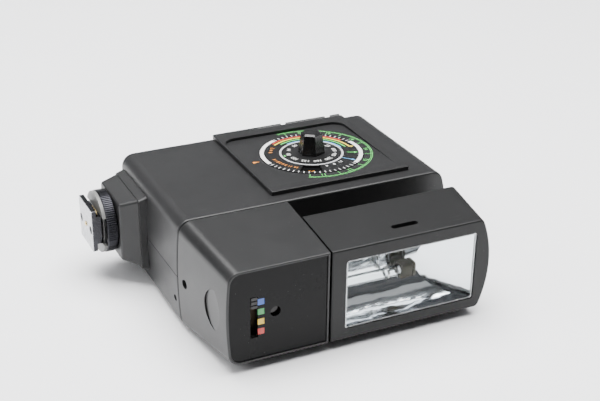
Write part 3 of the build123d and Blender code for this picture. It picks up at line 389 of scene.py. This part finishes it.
# radii are in millimetres from the dial's axis, and angles in degrees anticlockwise from +X
printed("ring_solid", arc(20.4, 22.1, 115, 190) + arc(20.4, 22.1, -55, 13), DISC, "white", "dial")
printed("ring_ticks", ticks(20.4, 22.1, range(17, 115, 6), 0.3) + ticks(20.4, 22.1, range(194, 304, 6), 0.3),
        DISC, "white", "dial")
printed("range_red", arc(19.2, 19.8, 24, 125) + ticks(18.9, 20.1, (24,), 0.4), DISC, "red", "dial")
printed("range_yellow", arc(17.6, 18.4, -1, 127) + arrow(17.8, 20.2, -2), DISC, "yellow", "dial")
printed("range_green", arc(15.9, 16.5, 0, 120) + arrow(15.5, 20.0, -23), DISC, "green", "dial")
printed("range_blue", arc(13.9, 14.5, 0, 112) + arrow(14.0, 20.2, -48), DISC, "blue", "dial")
printed("hub_ring", arc(12.9, 13.8, 0, 360), DISC, "grey", "dial")
printed("hub_mark", arc(11.9, 12.5, 173, 179), HUB, "green", "dial")
printed("speed_mark", arc(18.0, 19.8, -119, -111), PLATE, "orange", "body")
printed("scale_line", arc(25.5, 25.7, -118, 100) + arc(26.1, 26.3, -118, 100)
        + ticks(22.9, 25.5, range(-117, 94, 15), 0.22), FLOOR, "green", "body")
printed("scale_bright", arc(25.7, 26.1, 60, 69), FLOOR, "white", "body")
printed("scale_pointer", [[polar(27.0, 177.2), polar(24.0, 179), polar(27.0, 180.8)]],
        FLOOR, "orange", "body")
numerals("hub_number", "25 32 40 50 64 80 100 125 160 200 400 800".split(), 10.0,
         range(20, 351, 30), 2.5, HUB, "white", "dial")
numerals("side_number", "2 4 8 1.4 2.8 5.6 11 16".split(), 17.4,
         (139, 147, 155, 184, 194, 204, 214, 223), 2.2, DISC, "orange", "dial")
numerals("stop_number", "4 8 11".split(), 15.6, (269, 282, 296), 2.2, DISC, "white", "dial")
numerals("metre_number", "1 2 3 4 6 9 12".split(), 24.0, range(-105, 76, 30), 2.5, FLOOR, "green", "body")

# ------------------------------------------------------------------ window edge: painted highlight, bright metal strips standing in for light caught on the lens edge
lens_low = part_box("window_lens")[0]
EDGE = 0.45 * MM
face = [v.co for v in nodes["window_lens"].data.vertices if v.co.y < lens_low.y + 0.2 * MM]
face_x0, face_x1 = min(c.x for c in face), max(c.x for c in face)
face_z0, face_z1 = min(c.z for c in face), max(c.z for c in face)
# bright metal strips round the lens face: a painted highlight for the light its chamfered edge catches
shine = metal("window_edge_bright", (0.80, 0.81, 0.82), 0.18)
for tag, x0, x1, z0, z1 in (
        ("top", face_x0, face_x1, face_z1 - EDGE, face_z1),
        ("bottom", face_x0, face_x1, face_z0, face_z0 + EDGE),
        ("left", face_x0, face_x0 + EDGE, face_z0 + EDGE, face_z1 - EDGE),
        ("right", face_x1 - EDGE, face_x1, face_z0 + EDGE, face_z1 - EDGE)):
    bm = bmesh.new()
    bmesh.ops.create_cube(bm, size=1.0)
    for v in bm.verts:
        v.co = Vector(((x0 + x1) / 2 + v.co.x * (x1 - x0), lens_low.y + EDGE / 2 + v.co.y * EDGE,
                       (z0 + z1) / 2 + v.co.z * (z1 - z0)))
    bmesh.ops.bevel(bm, geom=bm.edges[:], offset=EDGE * 0.3, segments=2, affect="EDGES")
    mesh = bpy.data.meshes.new("window_edge_" + tag)
    bm.to_mesh(mesh)
    bm.free()
    mesh.materials.append(shine)
    edge = bpy.data.objects.new("window_edge_" + tag, mesh)
    bpy.context.scene.collection.objects.link(edge)
    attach(edge, "head")

# ------------------------------------------------------------------ stage and light
def stage_plane(name, corners, material):
    mesh = bpy.data.meshes.new(name)
    mesh.from_pydata(corners, [], [(0, 1, 2, 3)])
    obj = bpy.data.objects.new(name, mesh)
    mesh.materials.append(material)
    bpy.context.scene.collection.objects.link(obj)
    return obj


floor_mat = Tree("table_white")
floor_mat.set(Base_Color=rgb(0.94, 0.94, 0.95), Roughness=0.5)
back_mat = Tree("backdrop_grey")
back_mat.set(Base_Color=rgb(0.66, 0.67, 0.69), Roughness=0.9)
stage_plane("floor", [(-1.5, -0.20, 0), (1.5, -0.20, 0), (1.5, 0.75, 0), (-1.5, 0.75, 0)], floor_mat.mat)
stage_plane("backdrop", [(-4, 2.2, -2), (4, 2.2, -2), (4, 2.2, 3), (-4, 2.2, 3)], back_mat.mat)


def area(name, place, target, size, power):
    data = bpy.data.lights.new(name, "AREA")
    data.shape = "RECTANGLE"
    data.size, data.size_y = size
    data.energy = power
    obj = bpy.data.objects.new(name, data)
    bpy.context.scene.collection.objects.link(obj)
    obj.location = place
    obj.rotation_euler = (Vector(target) - Vector(place)).to_track_quat("-Z", "Y").to_euler()
    return obj


area("light_top", (0.05, 0.12, 1.4), (0, 0.05, 0), (1.7, 1.2), 92)
area("light_left", (-1.2, 0.1, 0.9), (0, 0, 0.02), (0.8, 0.8), 9)
area("light_front", (0.5, -1.2, 0.9), (0, 0, 0.02), (0.9, 0.5), 0.6)
world = bpy.data.worlds.new("studio")
world.use_nodes = True
sky = world.node_tree
way = sky.nodes.new("ShaderNodeSeparateXYZ")
sky.links.new(sky.nodes.new("ShaderNodeTexCoord").outputs["Generated"], way.inputs[0])
ramp = sky.nodes.new("ShaderNodeMapRange")
ramp.inputs["From Min"].default_value = -0.45
ramp.inputs["From Max"].default_value = 0.5
ramp.inputs["To Min"].default_value = 0.05
ramp.inputs["To Max"].default_value = 0.9
sky.links.new(way.outputs["Y"], ramp.inputs["Value"])
sky.nodes["Background"].inputs[0].default_value = (0.93, 0.95, 1.0, 1)
sky.links.new(ramp.outputs["Result"], sky.nodes["Background"].inputs[1])
bpy.context.scene.world = world

# ------------------------------------------------------------------ camera
AZIMUTH, ELEVATION, ROLL = (math.radians(v) for v in (-25.526, 25.830, 0.664))
back = Vector((math.sin(AZIMUTH) * math.cos(ELEVATION), -math.cos(AZIMUTH) * math.cos(ELEVATION),
               math.sin(ELEVATION)))
side = Vector((math.cos(AZIMUTH), math.sin(AZIMUTH), 0))
up = back.cross(side)
side2 = side * math.cos(ROLL) + up * math.sin(ROLL)
up2 = up * math.cos(ROLL) - side * math.sin(ROLL)
cam_data = bpy.data.cameras.new("camera")
cam_data.sensor_width = 36.0
cam_data.lens = 71.973
camera = bpy.data.objects.new("camera", cam_data)
bpy.context.scene.collection.objects.link(camera)
camera.matrix_world = Matrix(((side2.x, up2.x, back.x, -0.18334), (side2.y, up2.y, back.y, -0.40396),
                              (side2.z, up2.z, back.z, 0.25444), (0, 0, 0, 1)))
bpy.context.scene.camera = camera
